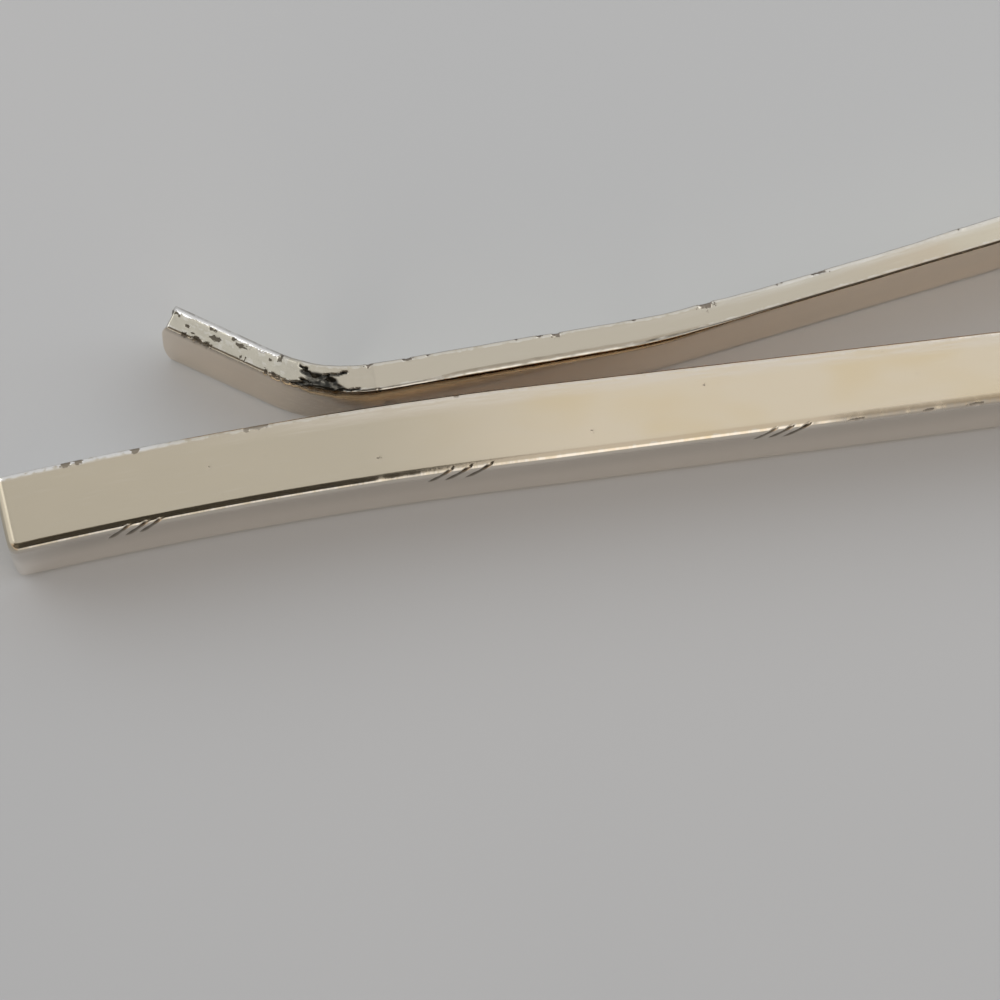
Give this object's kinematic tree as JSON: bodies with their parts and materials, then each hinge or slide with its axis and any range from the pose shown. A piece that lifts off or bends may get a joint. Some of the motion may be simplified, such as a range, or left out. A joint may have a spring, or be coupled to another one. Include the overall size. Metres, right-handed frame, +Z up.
{
  "type": "tie clip",
  "caption": "Slim spring tie clip: a hollow gilt bar with engraved diagonal lines, its open back holding a folded spring strip whose flared arm grips a tie.",
  "frame": {"origin": "centre of the clip's footprint, at the level of the long edges that it stands on", "axes": "+X along the front bar towards the fold, +Y from the front bar to the back arm, +Z up across the strip's width"},
  "size_m": [0.0522, 0.0102, 0.005],
  "materials": {
    "facing": "worn polished pale gilt",
    "strip": "worn pale gilt, rubbed to white metal at the lip"
  },
  "bodies": {
    "front_bar": {"front_shell": "facing", "spring_leg": "strip", "spring_fold": "strip"},
    "back_arm": {"spring_arm": "strip"}
  },
  "joints": [
    {"name": "arm_flex", "type": "hinge", "parent": "front_bar", "child": "back_arm", "pos_m": [0.02234, 0.00135, 0.0025], "axis": [0, 0, -1], "range_deg": [-0.8, 8], "stiffness_Nm_per_rad": 2, "deforming": ["spring_fold"]}
  ]
}
